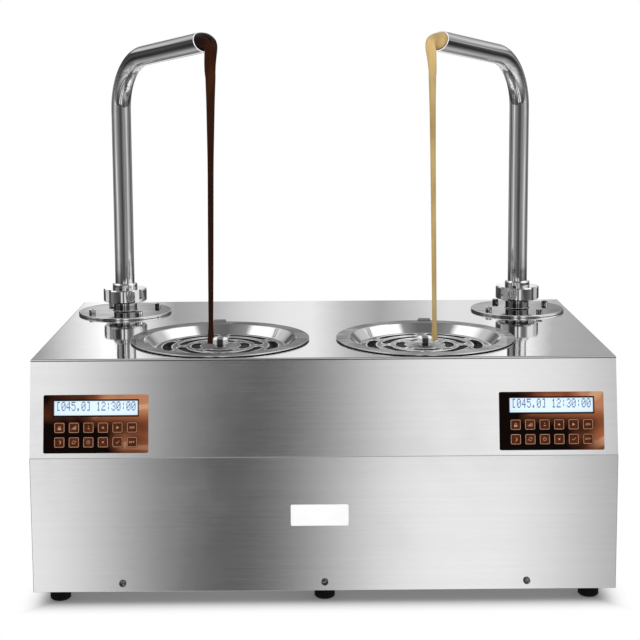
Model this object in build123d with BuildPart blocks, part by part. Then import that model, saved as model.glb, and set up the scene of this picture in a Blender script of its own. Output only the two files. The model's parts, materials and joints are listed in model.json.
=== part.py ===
from build123d import *
from math import atan2, cos, degrees, hypot, radians, sin, tan
import os

os.makedirs("parts", exist_ok=True)

# A double chocolate dispenser, in millimetres. The origin lies on the floor under the middle of
# the body, the front looks along -Y, +X is to the right of someone facing it and +Z is up.

# Casing
body_width = 730.0
body_depth = 445.0
foot_height = 18.0
plate_top = 310.0
plate_thickness = 3.0
plate_edge_radius = 2.0
plate_setback = 24.0
plate_overhang = 1.0
seam_height = 190.0
sheet = 1.5
sheet_edge_radius = 0.6
fold_depth = 12.0
fold_clearance = 0.5
pan_flange = 24.0
vent_length = 60.0
vent_height = 3.6
vent_pitch_x = 84.0
vent_pitch_z = 13.0
vent_columns = 5
vent_rows = 7
vent_centre_z = 200.0

# Feet
foot_radius = 13.0
foot_edge = 2.0
foot_inset_x = 29.0
foot_inset_y = 28.0
foot_stud_radius = 4.0
foot_stud_height = 6.0

# Panel screws, whose heads stand off the front and the rear alike
screw_projection = 3.0
screw_head_radius = 4.4
screw_head_edge = 1.6
screw_shank_radius = 2.0
screw_shank_length = 8.0
screw_drive_across = 3.0
screw_drive_depth = 1.6
screw_side_margin = 112.0
screw_rise = 11.0

# Bowls, tanks and grates
bowl_x = 136.0
bowl_setback = 120.0
rim_radius = 118.5
rim_height = 2.5
rim_edge_radius = 0.7
dish_radius = 101.0
dish_depth = 13.5
dish_bend = 4.0
drain_lip = 3.0
plate_opening_radius = 104.0
bowl_seal_width = 10.0
bowl_seal_inset = 1.0
tab_width = 18.0
tab_depth = 3.0
tab_rise = 3.5
tab_corner = 2.2
tab_inset = 2.0
tab_turn = 4.0
tank_radius = 82.0
tank_depth = 130.0
tank_skirt = 5.0
tank_bend = 6.0
tank_cone_height = 20.0
outlet_radius = 11.0
outlet_length = 12.0
heater_thickness = 3.0
heater_height = 70.0
heater_drop = 30.0
grate_lap = 3.0
grate_clearance = 3.0
grate_thickness = 2.0
grate_lip_radius = 0.6
slot_width = 11.0
slot_bridge = 11.0
slot_first_radius = 33.0
slot_margin = 8.0
slot_counts = (4, 4, 6)
slot_turns = (0.0, 45.0, 0.0)
knob_radius = 10.0
knob_height = 11.0
knob_waist_radius = 8.0
knob_waist_height = 2.5
knob_edge_radius = 1.5

# Risers, union nuts and spouts
riser_side_margin = 76.0
riser_rear_margin = 92.0
tube_radius = 14.0
tube_bore_radius = 12.5
flange_radius = 68.0
flange_thickness = 3.0
flange_edge_radius = 1.2
flange_gasket_thickness = 0.6
flange_gasket_inset = 2.0
neck_radius = 17.0
neck_length = 13.4
neck_weld_radius = 2.0
ferrule_radius = 26.0
ferrule_length = 12.0
union_seal_width = 6.0
union_seal_thickness = 1.5
shoulder_radius = 23.0
shoulder_thickness = 2.5
collar_radius = 18.0
collar_rise = 8.0
collar_edge = 2.0
nut_radius = 31.5
nut_lip = 3.5
nut_lap = 11.0
nut_edge = 1.5
nut_slot_width = 12.0
nut_slot_depth = 3.4
nut_slots = 4
flange_screw_ring_radius = 52.0
flange_screw_start = 30.0
flange_screws_each = 4
flange_screw_head_radius = 4.5
flange_screw_head_height = 5.5
flange_screw_shank_radius = 2.5
flange_screw_socket_across = 4.0
flange_screw_socket_depth = 2.5
flange_screw_end = 2.0
spout_reach = 225.0
spout_height = 392.0
spout_rise = 6.0
spout_bend = 78.0
spout_mouth_angle = 20.0

# Pumps
barrel_radius = 24.0
barrel_bore_radius = 22.0
barrel_flange_radius = 60.0
barrel_flange_thickness = 4.0
barrel_floor = 4.0
barrel_bottom = 96.0
pipe_wall = 1.5
pipe_bend = 18.0
pipe_height = 114.0
auger_shaft_radius = 6.0
auger_pitch = 34.0
auger_flight_thickness = 3.0
auger_top_gap = 10.0
auger_floor_gap = 6.0
gearbox_radius = 34.0
gearbox_height = 30.0
gearbox_bore_depth = 16.0
motor_radius = 27.0

# Control panels
panel_width = 130.0
panel_height = 72.0
panel_thickness = 1.2
panel_corner = 2.0
panel_side_margin = 17.0
panel_seam_margin = 6.0
panel_lap = 3.0
skirt_depth = 4.0
skirt_wall = 1.5
window_width = 105.0
window_height = 19.0
window_drop = 7.0
display_lap = 2.0
key_size = 13.0
key_corner = 1.5
key_pitch = 18.0
key_columns = 6
key_rows = 2
key_top_row_drop = 40.5
key_proud = 0.4
key_edge_radius = 0.3
key_foot_lap = 0.8
key_foot_thickness = 0.8
key_travel = 0.5
board_thickness = 1.6
dome_radius = 3.0

# Mains inlet with its rocker switch
inlet_side_margin = 95.0
inlet_z = 92.0
inlet_width = 34.0
inlet_height = 66.0
inlet_bezel = 1.5
inlet_lap = 2.5
inlet_depth = 24.0
inlet_edge_radius = 1.0
socket_width = 24.0
socket_height = 16.0
socket_corner = 3.0
socket_depth = 17.0
socket_drop = 15.0
blade_width = 2.0
blade_height = 4.0
blade_length = 11.0
blade_spacing = 14.0
blade_offset = 4.0
rocker_window_width = 14.0
rocker_window_height = 23.0
rocker_window_depth = 15.0
rocker_lift = 15.0
rocker_half_height = 10.0
rocker_face = 5.2
rocker_dip = 1.2
rocker_root = 3.0
rocker_root_half = 6.0
rocker_tilt = 8.0
rocker_pin_radius = 1.5
rocker_pin_length = 1.5

# Fits
running_clearance = 0.05
moving_clearance = 0.3
seat_clearance = 0.2
screw_clearance = 0.2
key_clearance = 0.25

# Places worked out from the sizes above
sides = {"left": -1, "right": 1}
front_y = -body_depth / 2
rear_y = body_depth / 2
panel_back_y = front_y + sheet
plate_front_y = front_y + plate_setback
plate_bottom = plate_top - plate_thickness
inner_width = body_width - 2 * sheet
fold_width = inner_width - 2 * fold_clearance
pan_bottom = foot_height + sheet
pan_top = pan_bottom + sheet
fascia_top_y = plate_front_y + plate_overhang
fascia_slant = atan2(fascia_top_y - panel_back_y, plate_bottom - seam_height)
fascia_run = sheet / cos(fascia_slant)
screw_z = foot_height + screw_rise
screw_spacing = body_width / 2 - screw_side_margin
screw_places = [(x, screw_z) for x in (-screw_spacing, 0, screw_spacing)]
screw_hole_radius = screw_shank_radius + screw_clearance
foot_x = body_width / 2 - foot_inset_x
foot_y = body_depth / 2 - foot_inset_y
foot_places = [(x, y) for x in (-foot_x, 0, foot_x) for y in (-foot_y, foot_y)]

bowl_y = plate_front_y + bowl_setback
drain_radius = tank_radius - drain_lip
grate_radius = tank_radius + grate_lap
ledge_radius = grate_radius + grate_clearance
slot_ring_pitch = (drain_radius - slot_margin - slot_first_radius) / (len(slot_counts) - 1)
rim_top = plate_top + rim_height
ledge_top = rim_top - dish_depth
ledge_bottom = ledge_top - sheet
grate_top = ledge_top + grate_thickness
tank_outer_radius = tank_radius + sheet
tank_floor = ledge_bottom - tank_depth
tank_seam = tank_floor + tank_skirt
outlet_top = tank_floor - tank_cone_height
outlet_bottom = outlet_top - outlet_length

riser_x = body_width / 2 - riser_side_margin
riser_y = rear_y - riser_rear_margin
flange_bottom = plate_top + flange_gasket_thickness
flange_top = flange_bottom + flange_thickness
ferrule_bottom = flange_top + neck_length
ferrule_top = ferrule_bottom + ferrule_length
shoulder_bottom = ferrule_top + union_seal_thickness
shoulder_top = shoulder_bottom + shoulder_thickness
lip_bottom = shoulder_top + seat_clearance
nut_top = lip_bottom + nut_lip
nut_bottom = ferrule_top - nut_lap
collar_top = nut_top + collar_rise
barrel_flange_bottom = plate_bottom - barrel_flange_thickness
flange_hole_radius = flange_screw_shank_radius + screw_clearance
pipe_run = hypot(riser_x - bowl_x, riser_y - bowl_y)
gearbox_bottom = barrel_bottom - gearbox_height
gearbox_bore_bottom = barrel_bottom - gearbox_bore_depth
shaft_hole_radius = auger_shaft_radius + running_clearance

cut_width = panel_width - 2 * panel_lap
cut_height = panel_height - 2 * panel_lap
skirt_width = cut_width - 2 * seat_clearance
skirt_height = cut_height - 2 * seat_clearance
key_row_y = panel_height / 2 - key_top_row_drop
key_places = [
    ((column - (key_columns - 1) / 2) * key_pitch, key_row_y - row * key_pitch)
    for row in range(key_rows)
    for column in range(key_columns)
]
window_y = panel_height / 2 - window_drop - window_height / 2
board_top = -skirt_depth
dome_top = -key_foot_thickness - key_travel - seat_clearance

inlet_x = body_width / 2 - inlet_side_margin
bezel_y = rear_y + inlet_bezel
socket_z = inlet_z - socket_drop
rocker_z = inlet_z + rocker_lift
rocker_reach = rocker_face * cos(radians(rocker_tilt)) + rocker_half_height * sin(radians(rocker_tilt))
rocker_y = rear_y + screw_projection - rocker_reach


def upright(x, y, heading=Vector(1, 0, 0)):
    """A plane standing on the floor at x, y that runs along the heading, with its own y axis up."""
    return Plane(origin=(x, y, 0), x_dir=heading, z_dir=heading.cross(Vector(0, 0, 1)))


def plumb(x, y):
    """The vertical axis through x, y."""
    return Axis((x, y, 0), (0, 0, 1))


def fascia_plane(side):
    """The middle of a control panel's place on the fascia: x along the body, y up the slope."""
    climb = panel_seam_margin + panel_height / 2
    centre_x = side * (body_width / 2 - panel_side_margin - panel_width / 2)
    centre_y = panel_back_y + climb * sin(fascia_slant)
    centre_z = seam_height + climb * cos(fascia_slant)
    outward = (0, -cos(fascia_slant), sin(fascia_slant))
    return Plane(origin=(centre_x, centre_y, centre_z), x_dir=(1, 0, 0), z_dir=outward)


def toward_bowl(side):
    """The level direction from a riser to the middle of its bowl."""
    return Vector(side * (bowl_x - riser_x), bowl_y - riser_y, 0).normalized()


def save(piece, name):
    piece.label = name
    export_step(piece, f"parts/{name}.step")


# Holes for the panel screws, in line from front to rear
with BuildSketch(Plane.XZ) as screw_holes:
    with Locations(*screw_places):
        Circle(screw_hole_radius)

# Base pan: a tray folded up on four sides
with BuildPart() as base_pan:
    with BuildSketch(Plane.XY.offset(pan_bottom)):
        Rectangle(inner_width, body_depth - 2 * sheet)
    extrude(amount=pan_flange)
    with BuildSketch(Plane.XY.offset(pan_top)):
        Rectangle(inner_width - 2 * sheet, body_depth - 4 * sheet)
    extrude(amount=pan_flange, mode=Mode.SUBTRACT)
    with BuildSketch(Plane.XY.offset(pan_bottom)):
        with Locations(*foot_places):
            Circle(foot_stud_radius + seat_clearance)
    extrude(amount=sheet, mode=Mode.SUBTRACT)
    extrude(screw_holes.sketch, amount=body_depth, both=True, mode=Mode.SUBTRACT)
save(base_pan.part, "base_pan")

# Top plate: a thick sheet with rounded edges, open for the bowls and the risers
with BuildPart() as top_plate:
    with BuildSketch(Plane.XY.offset(plate_bottom)):
        with Locations((0, plate_front_y)):
            Rectangle(body_width, rear_y - plate_front_y, align=(Align.CENTER, Align.MIN))
    extrude(amount=plate_thickness)
    fillet(top_plate.faces().sort_by(Axis.Z)[-1].edges(), plate_edge_radius)
    with BuildSketch(Plane.XY.offset(plate_bottom)):
        for side in sides.values():
            with Locations((side * bowl_x, bowl_y)):
                Circle(plate_opening_radius)
            with Locations((side * riser_x, riser_y)):
                Circle(barrel_bore_radius)
                with PolarLocations(flange_screw_ring_radius, flange_screws_each, flange_screw_start):
                    Circle(flange_hole_radius)
    extrude(amount=plate_thickness, mode=Mode.SUBTRACT)
save(top_plate.part, "top_plate")

# Upper fascia: a slanted sheet, tucked behind the front panel and folded back under the top plate
with BuildPart() as upper_fascia:
    with BuildSketch(Plane.YZ):
        Polygon(
            (fascia_top_y, plate_bottom),
            (panel_back_y, seam_height),
            (panel_back_y + fascia_run, seam_height),
            (fascia_top_y + fascia_run, plate_bottom),
            align=None,
        )
    extrude(amount=body_width / 2, both=True)
    with BuildSketch(Plane.YZ):
        with Locations((panel_back_y, seam_height)):
            Rectangle(sheet, fold_depth, align=(Align.MIN, Align.MAX))
        with Locations((fascia_top_y, plate_bottom)):
            Rectangle(fold_depth, sheet, align=(Align.MIN, Align.MAX))
    extrude(amount=fold_width / 2, both=True)
    for side in sides.values():
        with BuildSketch(fascia_plane(side)):
            Rectangle(cut_width, cut_height)
        extrude(amount=2 * sheet, both=True, mode=Mode.SUBTRACT)
save(upper_fascia.part, "upper_fascia")

# Front panel: a flat sheet folded back under the base pan
with BuildPart() as front_panel:
    with BuildSketch(Plane.XZ.offset(-front_y)):
        with Locations((0, foot_height)):
            Rectangle(body_width, seam_height - foot_height, align=(Align.CENTER, Align.MIN))
    extrude(amount=-sheet)
    fillet(front_panel.faces().sort_by(Axis.Y)[0].edges(), sheet_edge_radius)
    with BuildSketch(Plane.XY.offset(foot_height)):
        with Locations((0, panel_back_y)):
            Rectangle(fold_width, fold_depth, align=(Align.CENTER, Align.MIN))
    extrude(amount=sheet)
    extrude(screw_holes.sketch, amount=body_depth, both=True, mode=Mode.SUBTRACT)
save(front_panel.part, "front_panel")


def make_side_panel(side):
    with BuildPart() as side_panel:
        with BuildSketch(Plane.YZ.offset(side * body_width / 2)):
            Polygon(
                (panel_back_y, foot_height),
                (rear_y - sheet, foot_height),
                (rear_y - sheet, plate_bottom),
                (fascia_top_y + fascia_run, plate_bottom),
                (panel_back_y + fascia_run, seam_height),
                (panel_back_y, seam_height),
                align=None,
            )
        extrude(amount=-side * sheet)
    return side_panel.part


# Rear panel: a vented sheet folded forward under the top plate, with a window for the inlet
with BuildPart() as rear_panel:
    with BuildSketch(Plane.XZ.offset(-rear_y)):
        with Locations((0, foot_height)):
            Rectangle(body_width, plate_bottom - foot_height, align=(Align.CENTER, Align.MIN))
    extrude(amount=sheet)
    fillet(rear_panel.faces().sort_by(Axis.Y)[-1].edges(), sheet_edge_radius)
    with BuildSketch(Plane.XY.offset(plate_bottom)):
        with Locations((0, rear_y - sheet)):
            Rectangle(fold_width, fold_depth, align=(Align.CENTER, Align.MAX))
    extrude(amount=-sheet)
    with BuildSketch(Plane.XZ.offset(-rear_y)):
        with Locations((0, vent_centre_z)):
            with GridLocations(vent_pitch_x, vent_pitch_z, vent_columns, vent_rows):
                SlotOverall(vent_length, vent_height)
        with Locations((inlet_x, inlet_z)):
            Rectangle(inlet_width - 2 * inlet_lap, inlet_height - 2 * inlet_lap)
    extrude(amount=sheet, mode=Mode.SUBTRACT)
    extrude(screw_holes.sketch, amount=body_depth, both=True, mode=Mode.SUBTRACT)
save(rear_panel.part, "rear_panel")

# Feet: rubber pads pushed into the base pan
with BuildPart() as feet:
    with BuildSketch():
        with Locations(*foot_places):
            Circle(foot_radius)
    extrude(amount=pan_bottom)
    chamfer(feet.faces().group_by(Axis.Z)[0].edges(), foot_edge)
    with BuildSketch(Plane.XY.offset(pan_bottom)):
        with Locations(*foot_places):
            Circle(foot_stud_radius)
    extrude(amount=foot_stud_height)
save(feet.part, "feet")

# Panel screws: three in the front panel and three in the rear panel
with BuildPart() as panel_screws:
    for face_y, outward in ((front_y, 1), (rear_y, -1)):
        with BuildSketch(Plane.XZ.offset(-face_y)):
            with Locations(*screw_places):
                Circle(screw_head_radius)
        extrude(amount=outward * screw_projection)
        with BuildSketch(Plane.XZ.offset(-face_y)):
            with Locations(*screw_places):
                Circle(screw_shank_radius)
        extrude(amount=-outward * screw_shank_length)
    for ends in (panel_screws.faces().group_by(Axis.Y)[0], panel_screws.faces().group_by(Axis.Y)[-1]):
        fillet(ends.edges(), screw_head_edge)
    for face_y, outward in ((front_y, 1), (rear_y, -1)):
        with BuildSketch(Plane.XZ.offset(-face_y + outward * screw_projection)):
            with Locations(*screw_places):
                RegularPolygon(screw_drive_across / 2, 6, major_radius=False)
        extrude(amount=-outward * screw_drive_depth, mode=Mode.SUBTRACT)
save(panel_screws.part, "panel_screws")


def make_dish(side):
    x = side * bowl_x
    with BuildPart() as dish:
        with BuildSketch(upright(x, bowl_y)):
            with BuildLine():
                FilletPolyline(
                    (rim_radius, rim_top),
                    (dish_radius, rim_top),
                    (ledge_radius, ledge_top),
                    (drain_radius, ledge_top),
                    radius=dish_bend,
                )
                offset(amount=sheet, side=Side.LEFT)
            make_face()
        revolve(axis=plumb(x, bowl_y))
        rim_edges = dish.edges().filter_by(GeomType.CIRCLE).group_by(SortBy.RADIUS)[-1]
        fillet(rim_edges, rim_edge_radius)
        tab_angle = 90 - side * tab_turn
        with BuildSketch(Plane.XY.offset(rim_top)):
            with Locations((x, bowl_y)):
                with PolarLocations(rim_radius - tab_inset, 1, tab_angle):
                    Rectangle(tab_depth, tab_width, align=(Align.MAX, Align.CENTER))
        extrude(amount=tab_rise)
        outward = Axis((0, 0, 0), (cos(radians(tab_angle)), sin(radians(tab_angle)), 0))
        fillet(dish.edges().filter_by(outward).group_by(Axis.Z)[-1], tab_corner)
    return dish.part


def make_drain_grate(side):
    with BuildPart() as grate:
        with BuildSketch(Plane.XY.offset(ledge_top)):
            with Locations((side * bowl_x, bowl_y)):
                Circle(grate_radius)
                for ring, (count, turn) in enumerate(zip(slot_counts, slot_turns)):
                    radius = slot_first_radius + ring * slot_ring_pitch
                    sweep_angle = 360 / count - degrees((slot_width + slot_bridge) / radius)
                    arc = CenterArc((0, 0), radius, -sweep_angle / 2, sweep_angle, mode=Mode.PRIVATE)
                    with PolarLocations(0, count, start_angle=turn):
                        SlotArc(arc, slot_width, mode=Mode.SUBTRACT)
        extrude(amount=grate_thickness)
        fillet(grate.faces().sort_by(Axis.Z)[-1].edges(), grate_lip_radius)
    return grate.part


def make_grate_knob(side):
    with BuildPart() as knob:
        with BuildSketch(Plane.XY.offset(grate_top)):
            with Locations((side * bowl_x, bowl_y)):
                Circle(knob_waist_radius)
        extrude(amount=knob_waist_height)
        with BuildSketch(Plane.XY.offset(grate_top + knob_waist_height)):
            with Locations((side * bowl_x, bowl_y)):
                Circle(knob_radius)
        extrude(amount=knob_height - knob_waist_height)
        fillet(knob.edges().filter_by(GeomType.CIRCLE).group_by(SortBy.RADIUS)[-1], knob_edge_radius)
    return knob.part


# Tanks: a rolled wall under each dish, welded to a dished bottom with a short straight flange
bowl_places = [(side * bowl_x, bowl_y) for side in sides.values()]
with BuildPart() as tank_walls:
    with BuildSketch(Plane.XY.offset(tank_seam)):
        with Locations(*bowl_places):
            Circle(tank_outer_radius)
            Circle(tank_radius, mode=Mode.SUBTRACT)
    extrude(amount=ledge_bottom - tank_seam)
save(tank_walls.part, "tank_walls")

with BuildPart() as tank_bottoms:
    for x, y in bowl_places:
        with BuildSketch(upright(x, y)):
            with BuildLine():
                FilletPolyline(
                    (tank_radius, tank_seam),
                    (tank_radius, tank_floor),
                    (outlet_radius, outlet_top),
                    (outlet_radius, outlet_bottom),
                    radius=tank_bend,
                )
                offset(amount=sheet, side=Side.LEFT)
            make_face()
        revolve(axis=plumb(x, y))
save(tank_bottoms.part, "tank_bottoms")

# Heater bands round the tanks
with BuildPart() as tank_heaters:
    with BuildSketch(Plane.XY.offset(ledge_bottom - heater_drop)):
        with Locations(*bowl_places):
            Circle(tank_outer_radius + heater_thickness)
            Circle(tank_outer_radius, mode=Mode.SUBTRACT)
    extrude(amount=-heater_height)
save(tank_heaters.part, "tank_heaters")

# Pump barrels: each hangs under the top plate and sucks from its tank through a bent pipe
with BuildPart() as pump_barrels:
    riser_places = [(side * riser_x, riser_y) for side in sides.values()]
    with BuildSketch(Plane.XY.offset(barrel_bottom)):
        with Locations(*riser_places):
            Circle(barrel_radius)
    extrude(amount=plate_bottom - barrel_bottom)
    with BuildSketch(Plane.XY.offset(plate_bottom)):
        with Locations(*riser_places):
            Circle(barrel_flange_radius)
    extrude(amount=-barrel_flange_thickness)
    pipe_steps = ((outlet_radius + pipe_wall, Mode.ADD), (outlet_radius, Mode.SUBTRACT))
    for radius, mode in pipe_steps:
        for side in sides.values():
            with BuildLine(upright(side * bowl_x, bowl_y, -toward_bowl(side))) as pipe_route:
                FilletPolyline(
                    (0, outlet_bottom), (0, pipe_height), (pipe_run, pipe_height), radius=pipe_bend
                )
            with BuildSketch(Plane(origin=(side * bowl_x, bowl_y, outlet_bottom), z_dir=(0, 0, -1))):
                Circle(radius)
            sweep(path=pipe_route.wire(), mode=mode)
    with BuildSketch(Plane.XY.offset(barrel_bottom + barrel_floor)):
        with Locations(*riser_places):
            Circle(barrel_bore_radius)
    extrude(amount=plate_bottom - barrel_bottom - barrel_floor, mode=Mode.SUBTRACT)
    with BuildSketch(Plane.XY.offset(barrel_bottom)):
        with Locations(*riser_places):
            Circle(shaft_hole_radius)
    extrude(amount=barrel_floor, mode=Mode.SUBTRACT)
    with BuildSketch(Plane.XY.offset(plate_bottom)):
        with Locations(*riser_places):
            with PolarLocations(flange_screw_ring_radius, flange_screws_each, flange_screw_start):
                Circle(flange_hole_radius)
    extrude(amount=-barrel_flange_thickness, mode=Mode.SUBTRACT)
save(pump_barrels.part, "pump_barrels")


def make_auger(side):
    flight_bottom = barrel_bottom + barrel_floor + auger_floor_gap
    flight_top = plate_bottom - auger_top_gap
    flight_radius = barrel_bore_radius - moving_clearance
    mean_radius = (flight_radius + auger_shaft_radius) / 2
    shaft_bottom = gearbox_bore_bottom + seat_clearance
    with BuildPart() as auger:
        with BuildSketch(Plane.XY.offset(shaft_bottom)):
            with Locations((side * riser_x, riser_y)):
                Circle(auger_shaft_radius)
        extrude(amount=flight_top - shaft_bottom)
        with BuildLine(Plane((side * riser_x, riser_y, flight_bottom))) as flight:
            Helix(auger_pitch, flight_top - flight_bottom - auger_flight_thickness, mean_radius)
        with BuildSketch(Plane(flight.line @ 0, x_dir=(1, 0, 0), z_dir=flight.line % 0)):
            Rectangle(flight_radius - auger_shaft_radius + 2 * auger_flight_thickness, auger_flight_thickness)
        sweep(path=flight.wire(), is_frenet=True)
        with BuildSketch(Plane.XY.offset(flight_bottom - auger_pitch)):
            with Locations((side * riser_x, riser_y)):
                Circle(2 * barrel_radius)
                Circle(flight_radius, mode=Mode.SUBTRACT)
        extrude(amount=flight_top - flight_bottom + 2 * auger_pitch, mode=Mode.SUBTRACT)
    return auger.part


# Gear motors: each stands on the base pan and takes the auger's shaft in its gearbox
with BuildPart() as gear_motors:
    with BuildSketch(Plane.XY.offset(pan_top)):
        with Locations(*riser_places):
            Circle(motor_radius)
    extrude(amount=gearbox_bottom - pan_top)
    with BuildSketch(Plane.XY.offset(gearbox_bottom)):
        with Locations(*riser_places):
            Circle(gearbox_radius)
    extrude(amount=gearbox_height)
    with BuildSketch(Plane.XY.offset(barrel_bottom)):
        with Locations(*riser_places):
            Circle(shaft_hole_radius)
    extrude(amount=-gearbox_bore_depth, mode=Mode.SUBTRACT)
save(gear_motors.part, "gear_motors")


def make_riser_flange(side):
    with BuildPart() as riser_flange:
        with BuildSketch(Plane.XY.offset(flange_bottom)):
            with Locations((side * riser_x, riser_y)):
                Circle(flange_radius)
        extrude(amount=flange_thickness)
        with BuildSketch(Plane.XY.offset(flange_top)):
            with Locations((side * riser_x, riser_y)):
                Circle(neck_radius)
        extrude(amount=neck_length)
        rings = riser_flange.edges().filter_by_position(Axis.Z, flange_top, flange_top)
        fillet(rings.sort_by(SortBy.RADIUS)[-1], flange_edge_radius)
        rings = riser_flange.edges().filter_by_position(Axis.Z, flange_top, flange_top)
        fillet(rings.sort_by(SortBy.RADIUS)[0], neck_weld_radius)
        with BuildSketch(Plane.XY.offset(ferrule_bottom)):
            with Locations((side * riser_x, riser_y)):
                Circle(ferrule_radius)
        extrude(amount=ferrule_length)
        with BuildSketch(Plane.XY.offset(flange_bottom)):
            with Locations((side * riser_x, riser_y)):
                Circle(tube_bore_radius)
                with PolarLocations(flange_screw_ring_radius, flange_screws_each, flange_screw_start):
                    Circle(flange_hole_radius)
        extrude(amount=ferrule_top - flange_bottom, mode=Mode.SUBTRACT)
    return riser_flange.part


# Flange screws: socket caps through the flange, gasket, plate and barrel flange
with BuildPart() as flange_screws:
    for side in sides.values():
        with BuildSketch(Plane.XY.offset(flange_top)):
            with Locations((side * riser_x, riser_y)):
                with PolarLocations(flange_screw_ring_radius, flange_screws_each, flange_screw_start):
                    Circle(flange_screw_head_radius)
        extrude(amount=flange_screw_head_height)
        with BuildSketch(Plane.XY.offset(flange_top + flange_screw_head_height)):
            with Locations((side * riser_x, riser_y)):
                with PolarLocations(flange_screw_ring_radius, flange_screws_each, flange_screw_start):
                    RegularPolygon(flange_screw_socket_across / 2, 6, major_radius=False)
        extrude(amount=-flange_screw_socket_depth, mode=Mode.SUBTRACT)
        with BuildSketch(Plane.XY.offset(flange_top)):
            with Locations((side * riser_x, riser_y)):
                with PolarLocations(flange_screw_ring_radius, flange_screws_each, flange_screw_start):
                    Circle(flange_screw_shank_radius)
        extrude(amount=barrel_flange_bottom - flange_screw_end - flange_top)
save(flange_screws.part, "flange_screws")


def make_union_nut(side):
    with BuildPart() as union_nut:
        with BuildSketch(Plane.XY.offset(nut_bottom)):
            with Locations((side * riser_x, riser_y)):
                Circle(nut_radius)
        extrude(amount=nut_top - nut_bottom)
        chamfer(union_nut.edges().filter_by(GeomType.CIRCLE), nut_edge)
        with BuildSketch(Plane.XY.offset(nut_bottom)):
            with Locations((side * riser_x, riser_y)):
                Circle(collar_radius + moving_clearance)
                with PolarLocations(nut_radius - nut_slot_depth / 2, nut_slots, 360 / nut_slots / 2):
                    Rectangle(nut_slot_depth, nut_slot_width)
        extrude(amount=nut_top - nut_bottom, mode=Mode.SUBTRACT)
        with BuildSketch(Plane.XY.offset(nut_bottom)):
            with Locations((side * riser_x, riser_y)):
                Circle(ferrule_radius + moving_clearance)
        extrude(amount=lip_bottom - nut_bottom, mode=Mode.SUBTRACT)
    return union_nut.part


def make_spout(side):
    riser = upright(side * riser_x, riser_y, toward_bowl(side))
    corner_height = plate_top + spout_height - spout_reach * tan(radians(spout_rise))
    mouth = riser.from_local_coords((spout_reach, plate_top + spout_height, 0))
    mouth_pitch = radians(spout_rise + spout_mouth_angle)
    mouth_normal = toward_bowl(side) * cos(mouth_pitch) + Vector(0, 0, sin(mouth_pitch))
    tube_end = spout_reach + tube_radius
    tube_end_height = plate_top + spout_height + tube_radius * tan(radians(spout_rise))
    with BuildPart() as spout:
        with BuildSketch(Plane.XY.offset(shoulder_bottom)):
            with Locations((side * riser_x, riser_y)):
                Circle(shoulder_radius)
        extrude(amount=shoulder_thickness)
        with BuildSketch(Plane.XY.offset(shoulder_top)):
            with Locations((side * riser_x, riser_y)):
                Circle(collar_radius)
        extrude(amount=collar_top - shoulder_top)
        chamfer(spout.faces().sort_by(Axis.Z)[-1].edges(), collar_edge)
        with BuildSketch(Plane.XY.offset(shoulder_bottom)):
            with Locations((side * riser_x, riser_y)):
                Circle(tube_bore_radius)
        extrude(amount=collar_top - shoulder_bottom, mode=Mode.SUBTRACT)
        with BuildLine(riser) as route:
            FilletPolyline(
                (0, collar_top), (0, corner_height), (tube_end, tube_end_height), radius=spout_bend
            )
        with BuildSketch(Plane.XY.offset(collar_top)):
            with Locations((side * riser_x, riser_y)):
                Circle(tube_radius)
                Circle(tube_bore_radius, mode=Mode.SUBTRACT)
        sweep(path=route.wire())
        split(bisect_by=Plane(origin=mouth, z_dir=mouth_normal), keep=Keep.BOTTOM)
    return spout.part


# Seals: under the bowl rims, under the riser flanges and inside the unions
with BuildPart() as seals:
    for side in sides.values():
        with BuildSketch(Plane.XY.offset(plate_top)):
            with Locations((side * bowl_x, bowl_y)):
                Circle(rim_radius - bowl_seal_inset)
                Circle(rim_radius - bowl_seal_inset - bowl_seal_width, mode=Mode.SUBTRACT)
        extrude(amount=rim_height - sheet)
        with BuildSketch(Plane.XY.offset(plate_top)):
            with Locations((side * riser_x, riser_y)):
                Circle(flange_radius - flange_gasket_inset)
                Circle(barrel_bore_radius, mode=Mode.SUBTRACT)
                with PolarLocations(flange_screw_ring_radius, flange_screws_each, flange_screw_start):
                    Circle(flange_hole_radius, mode=Mode.SUBTRACT)
        extrude(amount=flange_gasket_thickness)
        with BuildSketch(Plane.XY.offset(ferrule_top)):
            with Locations((side * riser_x, riser_y)):
                Circle(tube_bore_radius + union_seal_width)
                Circle(tube_bore_radius, mode=Mode.SUBTRACT)
        extrude(amount=union_seal_thickness)
save(seals.part, "seals")


def make_control_panel(side):
    with BuildPart() as control_panel:
        with BuildSketch(fascia_plane(side)):
            RectangleRounded(panel_width, panel_height, panel_corner)
        extrude(amount=panel_thickness)
        with BuildSketch(fascia_plane(side)):
            Rectangle(skirt_width, skirt_height)
            Rectangle(skirt_width - 2 * skirt_wall, skirt_height - 2 * skirt_wall, mode=Mode.SUBTRACT)
        extrude(amount=-skirt_depth)
        with BuildSketch(fascia_plane(side)):
            with Locations((0, window_y)):
                Rectangle(window_width, window_height)
            with Locations(*key_places):
                RectangleRounded(
                    key_size + 2 * key_clearance, key_size + 2 * key_clearance, key_corner + key_clearance
                )
        extrude(amount=panel_thickness, mode=Mode.SUBTRACT)
    return control_panel.part


def make_key(side, place):
    with BuildPart() as key:
        with BuildSketch(fascia_plane(side)):
            with Locations(place):
                RectangleRounded(key_size, key_size, key_corner)
        extrude(amount=panel_thickness + key_proud)
        outward = Axis((0, 0, 0), fascia_plane(side).z_dir)
        fillet(key.faces().sort_by(outward)[-1].edges(), key_edge_radius)
        with BuildSketch(fascia_plane(side)):
            with Locations(place):
                Rectangle(key_size + 2 * key_foot_lap, key_size + 2 * key_foot_lap)
        extrude(amount=-key_foot_thickness)
    return key.part


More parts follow.
